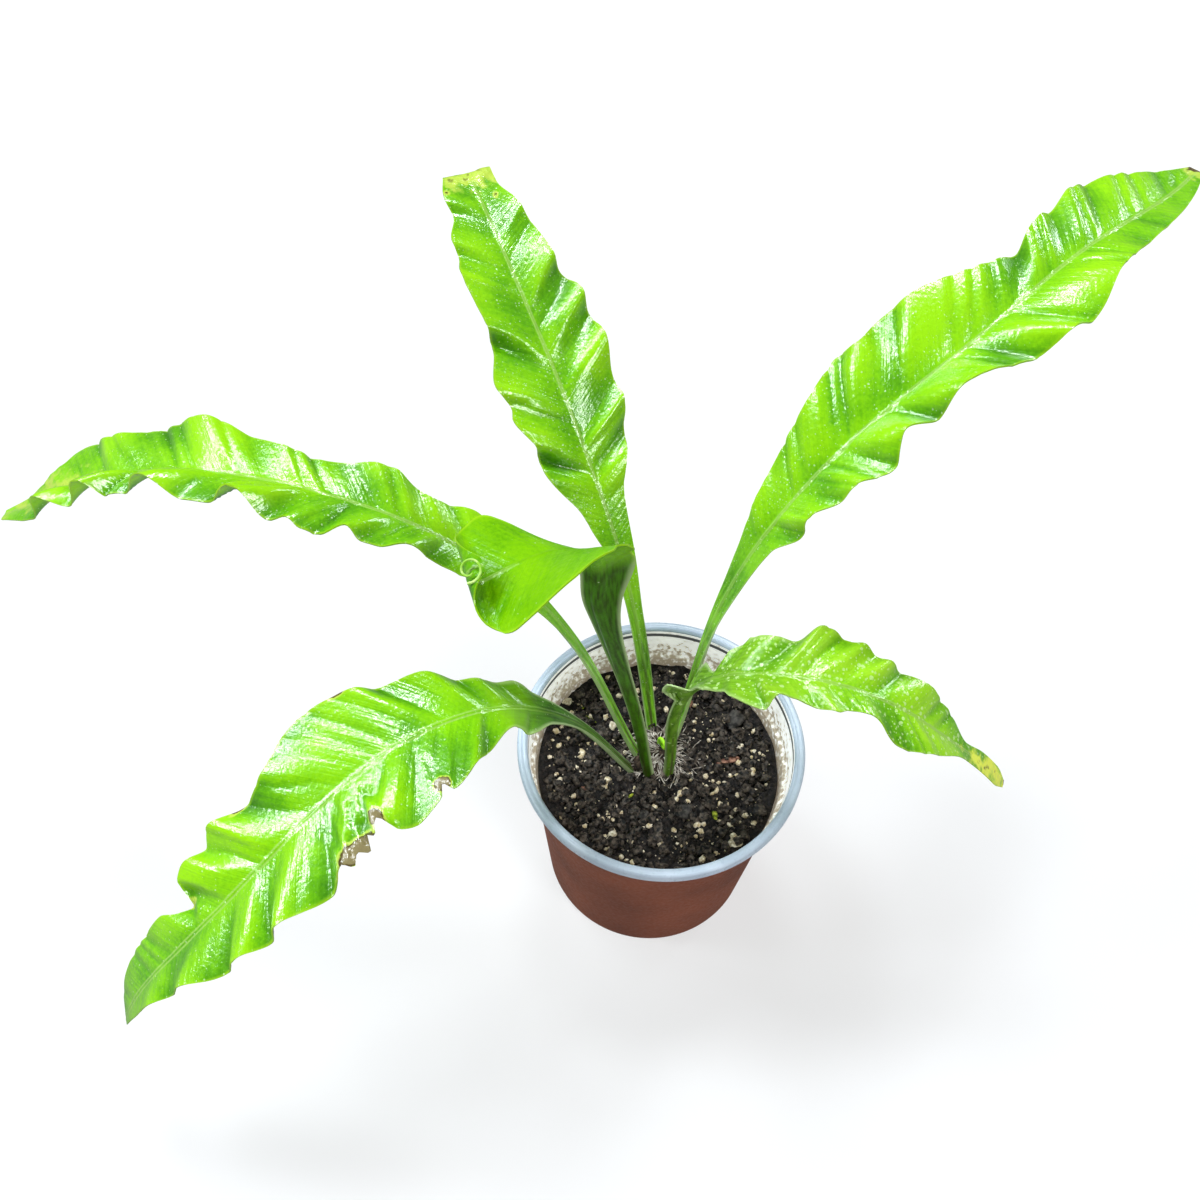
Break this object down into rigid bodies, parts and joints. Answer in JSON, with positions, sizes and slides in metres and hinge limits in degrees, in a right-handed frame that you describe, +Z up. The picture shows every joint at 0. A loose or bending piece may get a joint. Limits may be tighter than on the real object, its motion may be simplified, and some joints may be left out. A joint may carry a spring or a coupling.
{
  "type": "potted bird's nest fern",
  "caption": "Bird's nest fern with waved, glossy fronds that arch out of a scaly crown, growing in soil in a round nursery pot with a rolled rim.",
  "frame": {"origin": "centre of the pot's underside, on the surface that it stands on", "axes": "+Z up along the pot's axis, +X to the right and +Y away from the viewer, seen from the front"},
  "size_m": [0.4497, 0.2988, 0.3001],
  "materials": {
    "pot_plastic": "satin thermoformed plastic, reddish brown outside, pale blue-grey rim and pale inside",
    "potting_mix": "dark crumbly peat and bark mix with white perlite grains",
    "crown_scales": "matt fibrous scales and roots, pale grey-brown",
    "frond_leaf": "glossy waxy leaf, vivid lime green, with a pale midrib and fine side veins",
    "young_frond": "smooth satin young leaf, fresh green, darker green on its underside"
  },
  "bodies": {
    "root": {"pot": "pot_plastic", "soil": "potting_mix", "crown": "crown_scales", "frond_back": "frond_leaf", "frond_tall_right": "frond_leaf", "frond_arch_left": "frond_leaf", "frond_low_left": "frond_leaf", "frond_young": "young_frond", "frond_short_right": "frond_leaf", "frond_bud": "young_frond"}
  },
  "joints": []
}
